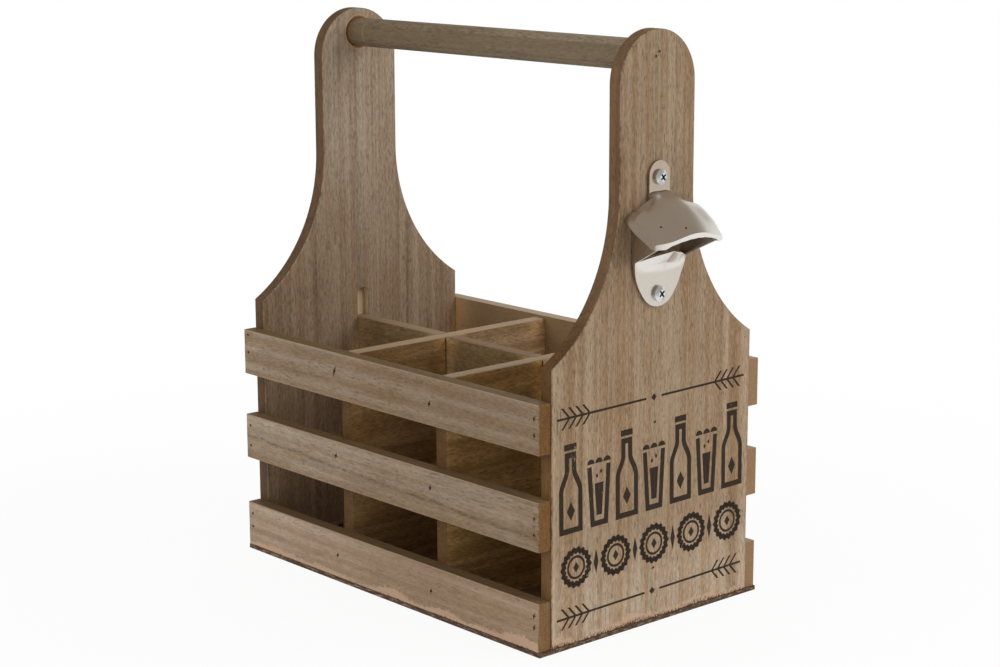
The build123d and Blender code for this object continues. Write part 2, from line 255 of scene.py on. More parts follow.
world = bpy.data.worlds.new("studio")
bpy.context.scene.world = world
studio = Surface(world)
direction = studio.split(studio.add("TexCoord", None, None, "Generated"))
behind = studio.step(direction["Y"], *FRONT_TO_BACK)
above = direction["Z"] + LOWER_IN_FRONT * (1 - behind) - HIGHER_BEHIND * behind
seen, mirrored = seen_and_mirrored(studio)
level = seen + mirrored + (1 - seen - mirrored) * SKY_LEVEL
sky = studio.mix(studio.step(above, *CEILING_EDGE) * mirrored, WHITE, CEILING_COLOUR)
backdrop = studio.add("Background", None, {"Color": sky, "Strength": level})
studio.add("OutputWorld", None, {"Surface": backdrop})
print("sky at", SKY_LEVEL, "of white for the light that it gives")

# %% Floor
FLOOR_SIZE = 8.0
FLOOR_GLOW = 0.92
FLOOR_PAPER = (0.90, 0.90, 0.90, 1.0)
SHADOW_REACH = (0.25, 0.70)
DIM_FLOOR = (-0.55, 0.0)

bpy.ops.mesh.primitive_plane_add(size=FLOOR_SIZE)
floor = bpy.context.object
floor.name = "floor"
sweep = new_material("floor_white")
seen, mirrored = seen_and_mirrored(sweep)
on_floor = sweep.add("TexCoord", None, None, "Object")
dim_side = mirrored * (1 - sweep.step(sweep.split(on_floor)["Y"], *DIM_FLOOR))
far = sweep.step(sweep.distance(on_floor, (0, 0, 0)), *SHADOW_REACH)
glow = sweep.add("Emission", None, {"Color": sweep.mix(dim_side, WHITE, CEILING_COLOUR)})
paper = sweep.add("BsdfDiffuse", None, {"Color": FLOOR_PAPER})
white = (seen + mirrored) * (FLOOR_GLOW + (1 - FLOOR_GLOW) * far)
both = sweep.add("MixShader", None, {0: white, 1: paper, 2: glow})
sweep.add("OutputMaterial", None, {"Surface": both})
floor.data.materials.append(sweep.owner)
print("floor", FLOOR_SIZE, "m wide")

# %% Soft lamps
LAMP_AIM = (0.0, 0.0, 0.15)
LAMPS = {
    "key": ((1.5, 0.9, 1.1), 1.2, 16.5),
    "fill": ((-0.5, -1.8, 0.9), 1.4, 11.0),
    "back": ((-1.3, 1.5, 1.2), 1.4, 8.0),
}
for name, (place, size, power) in LAMPS.items():
    lamp = bpy.data.objects.new(name, bpy.data.lights.new(name, "AREA"))
    lamp.data.size = size
    lamp.data.energy = power
    lamp.location = place
    toward = Vector(LAMP_AIM) - Vector(place)
    lamp.rotation_euler = toward.to_track_quat("-Z", "Y").to_euler()
    lamp.visible_camera = False
    lamp.visible_glossy = False
    bpy.context.scene.collection.objects.link(lamp)
print("lamps", ", ".join(LAMPS))

# %% [markdown]
# ## Wood
#
# Wood could be drawn as stripes, but a board is a slice of something solid, so its figure is a
# pattern in space that is long along the grain and short across it. Faces, edges and end grain
# then agree by themselves where they meet. Four scales of noise make it: broad bands from the
# growth rings, streaks, fibres, and the short dark flecks of open pores. A slow drift bends them,
# and soft clouds stand for wood that took the stain unevenly.

# %% The figure of a board
# Scales along and across the grain, in features per millimetre, then detail and roughness.
FIGURE = {
    "drift": (0.006, 0.02, 1.0, 0.5),
    "bands": (0.0012, 0.17, 2.0, 0.5),
    "streaks": (0.010, 0.45, 3.0, 0.6),
    "fibres": (0.28, 1.05, 3.0, 0.6),
    "flecks": (0.16, 0.85, 2.0, 0.6),
    "clouds": (0.02, 0.05, 3.0, 0.6),
}


def place_in_mm(surface):
    """A point of the model in millimetres, as a vector."""
    point = surface.add("TexCoord", None, None, "Object")
    return surface.add("VectorMath", {"operation": "SCALE"}, {0: point, "Scale": 1 / MM})


def pattern(surface, place, grain, name):
    """One noise of the figure, drawn out along the grain."""
    along, across, detail, roughness = FIGURE[name]
    scales = tuple(along if axis == grain else across for axis in "XYZ")
    return surface.noise(place, scales, detail, roughness)


def bent_place(surface, place, grain, wander):
    """The place, shifted to and fro by up to a few millimetres, so that grain lines wander."""
    drift = pattern(surface, place, grain, "drift").output("Color")
    middle = (NOISE_MIDDLE, NOISE_MIDDLE, NOISE_MIDDLE)
    drift = surface.add("VectorMath", {"operation": "SUBTRACT"}, {0: drift, 1: middle})
    drift = surface.add("VectorMath", {"operation": "SCALE"}, {0: drift, "Scale": 2 * wander})
    return surface.add("VectorMath", {"operation": "ADD"}, {0: place, 1: drift})


# %% [markdown]
# ## Stain, wash and wear
#
# The boards were dipped in brown stain, then wiped with a thin grey wash that stays on the broad
# faces. Sawn edges kept the bare brown, and end grain drank the stain in specks. Sanding took the
# colour off the arrises again. So one finish serves every board: a wash by how squarely the
# surface faces out, a darker edge, a speckled end, and a pale line on the arris. What one kind of
# board has alone is a small function, a mark, that is handed to the finish.

# %% What a board knows about itself
ON_FACE, ON_END, PAST_ARRIS = (0.80, 0.95), (0.6, 0.8), (0.55, 0.66)
MIDDLE = (-1.0, 1.0)


class Wood:
    """What the finish of a board has worked out, for the marks that come on top."""

    def __init__(self, surface, grain, face, wander):
        self.surface = surface
        self.place = place_in_mm(surface)
        self.at = surface.split(self.place)
        self.out = abs(self.at["X"])
        normal = surface.add("NewGeometry", None, None, "Normal")
        self.turned = {axis: abs(part) for axis, part in surface.split(normal).items()}
        bent = bent_place(surface, self.place, grain, wander)
        self.bands = pattern(surface, bent, grain, "bands")
        self.streaks = pattern(surface, bent, grain, "streaks")
        self.fibres = pattern(surface, bent, grain, "fibres")
        self.flecks = pattern(surface, bent, grain, "flecks")
        self.clouds = pattern(surface, self.place, grain, "clouds")
        self.on_face = surface.step(self.turned[face], *ON_FACE)
        self.on_end = surface.step(self.turned[grain], *ON_END)
        self.on_arris = surface.step(self.turned[face], *PAST_ARRIS) * (1 - self.on_face)

    def behind(self):
        """1 on the back half of the carrier, and 0 on the front half."""
        return self.surface.step(self.at["Y"], *MIDDLE)

    def within(self, value, low, high, soft):
        """1 between two limits, and 0 outside them."""
        step = self.surface.step
        return step(value, low, low + soft) * (1 - step(value, high - soft, high))

    def grained(self, tone, contrast):
        """A plain tone, lighter and darker with the fibres."""
        return self.surface.shade(tone, 1 + contrast * self.fibres.swing)

    def tinted(self, colour, tint, amount):
        """The colour times a tint, as far as the amount says."""
        return self.surface.mix(amount, colour, self.surface.tint(colour, tint))

    def tint_by_height(self, height, tint, *changes):
        """One tint low down, and others that take over between two heights each."""
        for low, high, other in changes:
            tint = self.surface.mix(self.surface.step(height, low, high), tint, other)
        return tint

    def painted_light_beside(self, colour, distance, reach, fall_off, gain):
        """The colour, with painted light on the broad faces where the distance to another board is
        small.
        """
        near = (1 - self.surface.step(distance, 0.0, reach)) ** fall_off
        return self.surface.shade(colour, 1 + gain * near * self.on_face)


# %% One finish for all boards
BAND_SHARE, STREAK_SHARE, FIBRE_SHARE, CLOUD_SHARE = 1.3, 0.75, 1.45, 0.5
EDGE_CONTRAST = 0.65
FLECK_RANGE, FLECKED_RANGE = (0.56, 0.68), (0.78, 1.05)
FLECK_DARKNESS = 0.38
GREY_RANGE, GREY_CLOUDS = (0.40, 0.62), 0.5
RINGS, RING_LOW, RING_SHARE = (0.9, 4.0, 0.7), 0.10, 1.8
WORN_RANGE, WORN_SHARE, WORN_TONE = (0.75, 1.1), 0.6, 1.4
BUMP_HEIGHT, BUMP_STREAKS, BUMP_FLECKS = 0.07 * MM, 0.7, 1.2
ROUGHNESS, ROUGHNESS_SWING = 0.68, 0.2
WOOD_SPECULAR = 0.22


def board(name, grain, face, washed, edge, end, contrast=1.0, wander=2.0, marks=()):
    """Wood with a washed face, a browner edge and end, and its own marks."""
    surface = new_material(name)
    wood = Wood(surface, grain, face, wander)
    tone = 1 + contrast * (EDGE_CONTRAST + (1 - EDGE_CONTRAST) * wood.on_face) * (
        BAND_SHARE * wood.bands.swing
        + STREAK_SHARE * wood.streaks.swing
        + FIBRE_SHARE * wood.fibres.swing
        + CLOUD_SHARE * wood.clouds.swing
    )
    flecked = surface.step(wood.bands + wood.streaks, *FLECKED_RANGE)
    fleck = surface.step(wood.flecks, *FLECK_RANGE) * flecked
    grey = surface.step(wood.bands + GREY_CLOUDS * wood.clouds.swing, *GREY_RANGE)
    colour = surface.mix(wood.on_face, edge, surface.mix(grey, *washed))
    rings = surface.noise(wood.place, *RINGS)
    colour = surface.mix(wood.on_end, colour, surface.shade(end, RING_LOW + RING_SHARE * rings))
    worn = wood.on_arris * surface.step(wood.fibres + wood.clouds, *WORN_RANGE)
    colour = surface.mix(WORN_SHARE * worn, colour, tuple(WORN_TONE * part for part in washed[1]))
    colour = surface.shade(colour, tone * (1 - FLECK_DARKNESS * contrast * fleck))
    for mark in marks:
        colour = mark(wood, colour)
    return surface.finish(
        bump=wood.fibres + BUMP_STREAKS * wood.streaks - BUMP_FLECKS * fleck,
        bump_height=BUMP_HEIGHT,
        Base_Color=colour,
        Roughness=ROUGHNESS + ROUGHNESS_SWING * fleck + ROUGHNESS_SWING * wood.fibres.swing,
        Specular_IOR_Level=WOOD_SPECULAR,
    )


# %% [markdown]
# ## Where the pieces are
#
# The marks sit at the edges of pieces, on joints and round holes. Their places could be typed in,
# but they would then be wrong as soon as a board changed, so they are read from the frame. From
# here on lengths and heights are in millimetres, apart from those that are written times MM, and
# a pair such as (0.1, 0.5) says where a soft edge starts and ends.

# %% Faces that the marks start from
base_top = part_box("base_board")[1].z / MM
divider_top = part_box("long_divider")[1].z / MM
half_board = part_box("long_divider")[1].y / MM
inner_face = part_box("end_board_right")[0].x / MM
outer_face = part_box("end_board_right")[1].x / MM
slat_inner = -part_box("slat_front_upper")[1].y / MM
slat_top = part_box("slat_front_upper")[1].z / MM
cross_place = sum(corner.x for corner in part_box("cross_divider_right")) / 2 / MM
dowel_low, dowel_high = (corner.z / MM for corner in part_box("handle_dowel"))
dowel_height = (dowel_low + dowel_high) / 2
dowel_radius = (dowel_high - dowel_low) / 2
print("end boards from", round(inner_face, 2), "to", round(outer_face, 2), "mm")

# %% [markdown]
# ## Torn wood at the foot
#
# The base was sawn flush after the dip. The saw bared pinkish wood in a ragged band just above it
# and left short dark fibres standing along the cut, longer on the end boards, where it crossed
# the grain. Slivers could be modelled, but they would stand out of the size of the carrier, so
# they are painted, by height above the base.

# %% Foot
RAW_WOOD = (0.58, 0.39, 0.265)
TORN_WOOD = (0.085, 0.052, 0.030)
PATCHES, RAGS, SPLINTERS = (0.022, 2.0, 0.5), (0.35, 4.0, 0.7), ((1.5, 1.5, 0.45), 4.0, 0.7)
PATCH_START, SPLINTER_START = 0.45, 0.43
BARE_HEIGHT, BARE_PATCHES, BARE_RAGS = 3.5, 18.0, 9.0
BARE_EDGE, BARE_SHARE = 1.6, 0.8
TORN_SPLINTERS, TORN_PATCHES, TORN_EDGE = 16.0, 7.0, 0.6


def bare_foot(wood, colour, torn_share=1.0):
    """Bared wood with a ragged upper edge, and torn dark fibres along the base."""
    surface = wood.surface
    rise = wood.at["Z"] - base_top
    patches = surface.noise(wood.place, *PATCHES) - PATCH_START
    rags = surface.noise(wood.place, *RAGS).swing
    bare_height = BARE_HEIGHT + BARE_PATCHES * patches + BARE_RAGS * rags
    bared = surface.step(bare_height - rise, 0.0, BARE_EDGE)
    colour = surface.mix(BARE_SHARE * bared * wood.on_face, colour, RAW_WOOD)
    splinters = surface.noise(wood.place, *SPLINTERS) - SPLINTER_START
    torn_height = torn_share * (TORN_SPLINTERS * splinters + TORN_PATCHES * patches)
    return surface.mix(surface.step(torn_height - rise, 0.0, TORN_EDGE), colour, TORN_WOOD)


# %% [markdown]
# ## End boards
#
# The two end boards carry the most marks. Inside, no brush reached the ends of the routed grooves
# and the rims of the handle's sockets, so they stayed raw, and the groove walls get a paler copy of
# that raw wood as painted light. The corners beside other boards get painted light, and the inner
# face gets painted shade below the neck and painted light at the foot and the top, while outside
# the foot is the palest part. A narrow greyer strip of the veneer runs up the middle. The edges are
# tinted by height, browner below the neck, and those of the far board are darker. Each of these is
# one mark, and each is a tint or a mix with soft limits, because a painted picture would not follow
# the solid grain.

# %% Grooves and sockets left raw
GROOVE_HALF_WIDTH, GROOVE_EDGE = 4.75, 0.2
GROOVE_BELOW, GROOVE_ABOVE, GROOVE_END_EDGE = 6.0, 30.0, 0.4
GROOVE_FLOOR, GROOVE_WALL_LIT = (0.515, 0.378, 0.235), (0.73, 0.60, 0.40)
GROOVE_CONTRAST = 0.5
OUTER_SKIN, SUNK, ON_WALL = (-2.0, -1.5), (0.1, 0.5), (0.5, 0.8)
SOCKET_RIM, SOCKET_RIM_EDGE = 2.2, 0.5
SOCKET_TONE, SOCKET_RIM_SHARE = (0.46, 0.285, 0.135), 0.7


def outside(wood):
    """1 on the outer side of an end board, and 0 on its inner side and in its grooves."""
    return wood.surface.step(wood.out, *OUTER_SKIN, start=outer_face)


def routed_places(wood, colour):
    """Raw wood at the top of the groove for the divider, with painted light on its walls, and round
    the socket for the handle.
    """
    surface = wood.surface
    inward = 1 - outside(wood)
    sunk = surface.step(wood.out, *SUNK, start=inner_face) * inward
    slot = wood.within(wood.at["Y"], -GROOVE_HALF_WIDTH, GROOVE_HALF_WIDTH, GROOVE_EDGE)
    low, high = divider_top - GROOVE_BELOW, divider_top + GROOVE_ABOVE
    slot = slot * wood.within(wood.at["Z"], low, high, GROOVE_END_EDGE)
    # The groove walls get a paler copy of the raw wood as painted light.
    raw = surface.mix(surface.step(wood.turned["Y"], *ON_WALL), GROOVE_FLOOR, GROOVE_WALL_LIT)
    raw = surface.shade(raw, 1 + GROOVE_CONTRAST * wood.streaks.swing)
    colour = surface.mix(slot * sunk, colour, raw)
    away = from_axis(wood.at["Y"], wood.at["Z"] - dowel_height) - dowel_radius
    rim = (1 - surface.step(away, 0.0, SOCKET_RIM_EDGE, start=SOCKET_RIM)) * inward
    share = SOCKET_RIM_SHARE + (1 - SOCKET_RIM_SHARE) * sunk
    return surface.mix(rim * share, colour, SOCKET_TONE)


# %% Strip of veneer, what the dip left on the faces, and painted light and shade inside
STRIP_LEFT, STRIP_RIGHT, STRIP_EDGE = -4.6, 2.0, 2.4
STRIP_WANDER, STRIP_SHARE = 3.0, 0.9
STRIP_TINT = (0.99, 1.10, 1.16)
# Painted light and shade on the inner face: paler at the foot, darker below the neck, paler and bluer
# at the top.
INNER_LIGHT_AND_SHADE = (
    (1.20, 1.20, 1.20),
    (60.0, 120.0, (0.86, 0.86, 0.86)),
    (150.0, 280.0, (1.05, 1.14, 1.26)),
)
OUTER_TINTS = (
    (1.34, 1.43, 1.61),
    (10.0, 70.0, (0.98, 0.97, 0.97)),
    (90.0, 260.0, (0.875, 0.87, 0.88)),
)
OUTER_WANDER = 30.0
YELLOWER, PLAIN_HUE = (1.015, 0.985, 0.885), (0.995, 1.0, 1.0)
HUE_RANGE, HUE_STREAKS = (0.38, 0.62), 0.6


def pale_strip(wood, colour):
    """A narrow greyer strip of the veneer, just left of the middle of the board."""
    across = wood.at["Y"] + STRIP_WANDER * wood.streaks.swing
    strip = wood.within(across, STRIP_LEFT, STRIP_RIGHT, STRIP_EDGE) * wood.on_face
    return wood.tinted(colour, STRIP_TINT, STRIP_SHARE * strip)


def dip_marks_and_inner_shading(wood, colour):
    """Inside, painted shade below the neck and painted light at the foot and the top. Outside, the
    foot is paler, and some bands of the wood are yellower."""
    surface = wood.surface
    outer = outside(wood)
    bands = surface.step(wood.bands + HUE_STREAKS * wood.streaks.swing, *HUE_RANGE)
    hue = surface.mix(bands, YELLOWER, PLAIN_HUE)
    colour = wood.tinted(colour, hue, outer * wood.on_face)
    rise = wood.at["Z"] - base_top + OUTER_WANDER * wood.bands.swing
    inner_light_and_shade = wood.tint_by_height(wood.at["Z"], *INNER_LIGHT_AND_SHADE)
    outer_tint = wood.tint_by_height(rise, *OUTER_TINTS)
    return wood.tinted(colour, surface.mix(outer, inner_light_and_shade, outer_tint), wood.on_face)


# %% Corners and edges
# Painted light: the inner faces are made paler near the back slats and the long divider, where shade
# falls.
SLAT_CORNER_LIGHT = {"reach": 30.0, "fall_off": 2.0}
DIVIDER_CORNER_LIGHT = {"reach": 16.0, "fall_off": 1.5}
DIVIDER_CORNER_GAIN = 1.6
SLAT_FADE, DIVIDER_FADE = (-22.0, 6.0), (-26.0, 2.0)
EDGE_TINTS = (
    (1.05, 0.92, 0.60),
    (95.0, 125.0, (0.74, 0.60, 0.38)),
    (165.0, 200.0, (1.14, 1.10, 1.03)),
)
FAR_EDGE_TINT = (0.84, 0.79, 0.75)


def painted_light_in_corners(wood, colour):
    """Inside, painted light beside the back slats and beside the long divider."""
    inward = 1 - outside(wood)
    gain = (1 - wood.surface.step(wood.at["Z"], *SLAT_FADE, start=slat_top)) * inward
    colour = wood.painted_light_beside(colour, slat_inner - wood.at["Y"], gain=gain, **SLAT_CORNER_LIGHT)
    gain = (1 - wood.surface.step(wood.at["Z"], *DIVIDER_FADE, start=divider_top)) * inward
    gain = DIVIDER_CORNER_GAIN * gain * (1 - wood.behind())
    return wood.painted_light_beside(colour, -half_board - wood.at["Y"], gain=gain, **DIVIDER_CORNER_LIGHT)


def edge_dips(wood, colour):
    """Edges tinted by height, browner below the neck and paler above it on the near board, and darker
    on the far one.
    """
    on_edge = (1 - wood.on_face) * (1 - wood.on_arris)
    near_tint = wood.tint_by_height(wood.at["Z"], *EDGE_TINTS)
    near_board = wood.surface.step(wood.at["X"], *MIDDLE)
    tint = wood.surface.mix(near_board, FAR_EDGE_TINT, near_tint)
    return wood.tinted(colour, tint, on_edge)


# %% End board finish
END_BOARD = {
    "grain": "Z",
    "face": "X",
    "washed": ((0.322, 0.213, 0.128), (0.308, 0.221, 0.142)),
    "edge": (0.145, 0.086, 0.045),
    "end": (0.150, 0.090, 0.048),
    "contrast": 0.9,
    "wander": 1.3,
}
end_board_marks = (pale_strip, dip_marks_and_inner_shading, edge_dips, painted_light_in_corners, routed_places, bare_foot)
dress(board("end_board_wood", marks=end_board_marks, **END_BOARD), "end_board_left", "end_board_right")

# %% [markdown]
# ## Slats
#
# The slats have the same finish with the grain turned along X. They come from different lengths
# of stock, so each level has its own tone: the upper one brown, the middle one with the most
# grey wash, the lowest one smooth and pink. Inside they kept the plain stain, with painted light
# beside the end boards, and the back slats get painted light on their long edges. The middle front
# slat also has a long dark mineral streak, which is a thin band round a wandering line. Except at
# the far end, the brads tore the fibres of the slats, and each tear shows as a short dark dash.
# Their places could be worked out from the pitch of the brads, but they are found in the imported
# brads themselves: each brad is one group of faces that hangs together.

# %% Find the brads
WELD_DISTANCE = 0.002 * MM
WHOLE_BRADS_REACH = 10.0


def islands(mesh):
    """The corners of each group of faces that hangs together."""
    left = set(mesh.verts)
    while left:
        found = set()
        waiting = [left.pop()]
        while waiting:
            corner = waiting.pop()
            found.add(corner)
            neighbours = {edge.other_vert(corner) for edge in corner.link_edges} & left
            left -= neighbours
            waiting += neighbours
        yield [corner.co / MM for corner in found]


brads = bmesh.new()
brads.from_mesh(nodes["slat_brads"].data)
bmesh.ops.remove_doubles(brads, verts=brads.verts, dist=WELD_DISTANCE)
brad_places = sorted(tuple(sum(island, Vector()) / len(island)) for island in islands(brads))
brads.free()
past_far_end = WHOLE_BRADS_REACH - inner_face
torn_brads = [place for place in brad_places if place[1] < 0 and place[0] > past_far_end]
print(len(brad_places), "brads in the slats,", len(torn_brads), "in front with torn fibres")

# %% Inner faces, back slats and wiped fronts
PLAIN_INSIDE, PLAIN_CONTRAST = (0.275, 0.172, 0.086), 0.6
INSIDE_LIMITS = (2.0, 3.0)
END_CORNER_LIGHT = {"reach": 36.0, "fall_off": 2.0, "gain": 1.0}
END_STRIP, END_STRIP_TINT = (3.5, 5.0), (1.15, 1.0, 0.8)
TURNED_UP = (0.6, 0.8)
BACK_EDGE_LIT, BACK_EDGE_CONTRAST = (0.40, 0.295, 0.20), 0.4
BACK_END, BACK_END_CONTRAST = (0.290, 0.175, 0.090), 0.8
FAR_HALF, FAR_HALF_TINT = (-140.0, 60.0), (1.21, 1.27, 1.36)
SMUDGES = ((0.035, 0.035, 0.11), 4.0, 0.65)
SMUDGE_RANGE, SMUDGE_DARKNESS = (0.54, 0.72), 0.18
ARRIS_START, ARRIS_END = (0.15, 0.5), (0.86, 0.95)
RUBBED_ARRIS, RUBBED_SHARE = (0.40, 0.29, 0.19), 0.7


def plain_inside(wood, colour):
    """Inner faces in the plain stain, with painted light towards the end boards, and orange right
    beside them.
    """
    surface = wood.surface
    inside = 1 - surface.step(abs(wood.at["Y"]), *INSIDE_LIMITS, start=slat_inner)
    from_end = inner_face - wood.out
    plain = wood.grained(PLAIN_INSIDE, PLAIN_CONTRAST)
    # Painted light near the end boards, where shade falls in the corners.
    plain = wood.painted_light_beside(plain, from_end, **END_CORNER_LIGHT)
    plain = wood.tinted(plain, END_STRIP_TINT, 1 - surface.step(from_end, *END_STRIP))
    return surface.mix(wood.on_face * inside, colour, plain)


def lit_edges_and_pale_ends(wood, colour):
    """Back slats get painted light on their long edges, and have paler end grain."""
    surface = wood.surface
    # Painted light on the long edges of the back slats, where they face up or down.
    on_edge = surface.step(wood.turned["Z"], *TURNED_UP) * wood.behind()
    colour = surface.mix(on_edge, colour, wood.grained(BACK_EDGE_LIT, BACK_EDGE_CONTRAST))
    back_end = wood.grained(BACK_END, BACK_END_CONTRAST)
    return surface.mix(wood.on_end * wood.behind(), colour, back_end)


def wiped(wood, colour):
    """A greyer far half, smudges along the grain, and rubbed arrises on the front slats."""
    surface = wood.surface
    far_half = 1 - surface.step(wood.at["X"], *FAR_HALF)
    colour = wood.tinted(colour, FAR_HALF_TINT, wood.on_face * far_half)
    smudges = surface.noise(wood.place, *SMUDGES)
    smudged = surface.step(smudges, *SMUDGE_RANGE) * wood.on_face
    colour = surface.shade(colour, 1 - SMUDGE_DARKNESS * smudged)
    turned = wood.turned["Z"]
    arris = surface.step(turned, *ARRIS_START) * (1 - surface.step(turned, *ARRIS_END))
    return surface.mix(RUBBED_SHARE * arris * (1 - wood.behind()), colour, RUBBED_ARRIS)


# %% Mineral streak
STREAK_HEIGHT, STREAK_FALL = 75.5, 0.028
STREAK_SWAY, SWAY = 7.0, ((0.03, 0.0, 0.0), 4.0, 0.6)
STREAK_EDGE, STREAK_FIBRES = (0.2, 1.7), (0.42, 0.60)
STREAK_DARKNESS = 0.50


def mineral_streak(wood, colour):
    """A thin dark line that wanders along the middle front slat."""
    surface = wood.surface
    sway = surface.noise(wood.place, *SWAY).swing
    line = STREAK_HEIGHT - STREAK_FALL * (wood.at["X"] + outer_face) + STREAK_SWAY * sway
    near = 1 - surface.step(abs(wood.at["Z"] - line), *STREAK_EDGE)
    broken = surface.step(wood.fibres, *STREAK_FIBRES)
    dark = near * (1 - wood.behind()) * broken * wood.on_face
    return surface.shade(colour, 1 - STREAK_DARKNESS * dark)


# %% Fibres torn by the brads
TEAR_HALF_WIDTH, TEAR_HALF_LENGTH = 0.55, 2.1
TEAR_LEAN = -0.28
TEAR_RAGGEDNESS, TEAR_RAGS = 1.4, ((0.9, 0.9, 0.5), 3.0, 0.6)
TEAR_EDGE, TEAR_SHARE = (0.75, 1.15), 0.85
TEAR_TONE = (0.045, 0.028, 0.016)


def torn_at_brads(wood, colour, places, reaches):
    """A short dark dash that leans to one side, over each brad."""
    surface = wood.surface
    spread = surface.add("CombineXYZ", None, {
        "X": (wood.at["X"] + TEAR_LEAN * wood.at["Z"]) / TEAR_HALF_WIDTH,
        "Z": wood.at["Z"] / TEAR_HALF_LENGTH,
    })
    rags = TEAR_RAGGEDNESS * surface.noise(wood.place, *TEAR_RAGS).swing
    for (across, _, up), reach in zip(places, reaches):
        spot = ((across + TEAR_LEAN * up) / TEAR_HALF_WIDTH, 0.0, up / TEAR_HALF_LENGTH)
        away = surface.distance(spread, spot) / reach + rags
        torn = 1 - surface.step(away, *TEAR_EDGE)
        colour = surface.mix(TEAR_SHARE * torn * wood.on_face, colour, TEAR_TONE)
    return colour


# %% Slat finishes
SLATS = {
    "upper": {
        "washed": ((0.245, 0.160, 0.092), (0.250, 0.181, 0.118)),
        "end": (0.162, 0.076, 0.020),
        "contrast": 0.66,
    },
    "middle": {
        "washed": ((0.262, 0.176, 0.102), (0.278, 0.208, 0.140)),
        "end": (0.182, 0.088, 0.024),
        "contrast": 0.66,
    },
    "lower": {
        "washed": ((0.345, 0.233, 0.145), (0.350, 0.250, 0.168)),
        "end": (0.208, 0.114, 0.044),
        "contrast": 0.55,
    },
}
SLAT_EDGE, SLAT_WANDER = (0.170, 0.105, 0.048), 1.5
TEAR_REACHES = {
    "upper": (1.6, 1.1, 1.0, 1.0),
    "middle": (0.9, 1.0, 0.7, 0.9),
    "lower": (0.8, 0.9, 1.0, 1.0),
}
SLAT_TORN_SHARE = 0.35
OWN_MARKS = {
    "upper": (),
    "middle": (mineral_streak,),
    "lower": (partial(bare_foot, torn_share=SLAT_TORN_SHARE),),
}

for level, tones in SLATS.items():
    low, high = (corner.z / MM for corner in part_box(f"slat_front_{level}"))
    in_slat = [place for place in torn_brads if low < place[2] < high]
    torn = partial(torn_at_brads, places=in_slat, reaches=TEAR_REACHES[level])
    marks = (plain_inside, lit_edges_and_pale_ends, wiped, torn, *OWN_MARKS[level])
    common = {"grain": "X", "face": "Y", "edge": SLAT_EDGE, "wander": SLAT_WANDER, "marks": marks}
    finish = board(f"slat_{level}_wood", **common, **tones)
    dress(finish, f"slat_front_{level}", f"slat_back_{level}")

# %% [markdown]
# ## Dividers
#
# Inside, nobody washed the wood, so it is the plain orange-brown of the stain, with painted light
# in the corners where boards meet, and pinker on the back half. The dividers were cut with a coarse
# saw that left a fine furry texture of short pale fibres. Their upper edges were planed afterwards
# and are paler, apart from the middle bay, which gets painted shade. Fur could be made of hairs,
# but these are so short that a slanting noise shows the same.

# %% Corners where the dividers meet other boards
# Reach, fall-off and gain of the painted light in each corner.
LONG_AT_CROSS, LONG_AT_END = (20.0, 2.0, 1.3), (24.0, 1.5, 0.8)
CROSS_AT_LONG, CROSS_AT_BACK, CROSS_AT_FRONT = (14.0, 1.5), (28.0, 1.5), (55.0, 1.0, 0.3)
UPPER_PART = (85.0, 115.0)
LONG_GAIN, LONG_UPPER_GAIN, BACK_UPPER_GAIN = 0.3, 0.75, 1.2


def long_corners(wood):
    """Distances from the cross dividers and the end boards, each with the reach, fall-off and gain of
    its painted light.
    """
    from_cross = abs(wood.out - cross_place) - half_board
    return (from_cross, *LONG_AT_CROSS), (inner_face - wood.out, *LONG_AT_END)


def cross_corners(wood):
    """Distances from the long divider and the slats, each with the reach, fall-off and gain of its
    painted light.
    """
    upper = wood.surface.step(wood.at["Z"], *UPPER_PART)
    from_long = abs(wood.at["Y"]) - half_board
    return (
        (from_long, *CROSS_AT_LONG, LONG_GAIN + LONG_UPPER_GAIN * upper),
        (slat_inner - wood.at["Y"], *CROSS_AT_BACK, BACK_UPPER_GAIN * upper * wood.behind()),
        (wood.at["Y"] + slat_inner, *CROSS_AT_FRONT),
    )


# %% Sawn faces and planed edges
PINKER_PART, PINKER_TINT = (4.0, 12.0), (1.22, 1.32, 1.72)
FUR_SLANT, FUR = (0.5, 0.5, 0.0), ((0.14, 0.14, 1.7), 3.0, 0.65)
FUR_RANGE, FUR_LOW, FUR_SHARE = (0.42, 0.75), 0.90, 0.36
JOINT_LIMITS, JOINT_DARKNESS = (0.35, 0.9), 0.6
PLANED_DEPTH, PLANED_TURN, PLANED_CONTRAST = (-0.7, -0.4), (0.5, 0.7), 0.4
MIDDLE_BAY_FADE, MIDDLE_BAY_SHADE = 10.0, (0.77, 0.69, 0.61)


